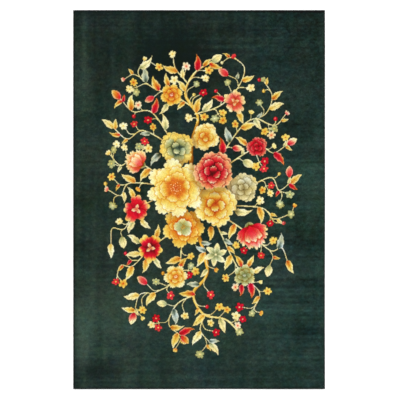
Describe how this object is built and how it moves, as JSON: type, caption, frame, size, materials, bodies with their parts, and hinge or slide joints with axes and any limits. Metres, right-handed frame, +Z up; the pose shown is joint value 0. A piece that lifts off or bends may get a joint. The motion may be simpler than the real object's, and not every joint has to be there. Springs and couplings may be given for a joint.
{
  "type": "chinese art deco rug",
  "caption": "Rectangular hand-knotted wool pile rug with an overcast edge, lying flat as a floor covering.",
  "frame": {"origin": "middle of the underside, on the floor", "axes": "+X across the rug, +Y along it towards the far end, +Z up out of the pile"},
  "size_m": [1.83, 2.755, 0.0135],
  "materials": {
    "pile": "clipped wool pile, matt, dark green field with a coloured floral design",
    "edge": "wool yarn wrapped over the edge cords, matt, dark green",
    "back": "knotted back, wool knots between cotton wefts"
  },
  "bodies": {
    "root": {"rug": "pile", "edge_left": "edge", "edge_right": "edge", "edge_near": "edge", "edge_far": "edge"}
  },
  "joints": []
}
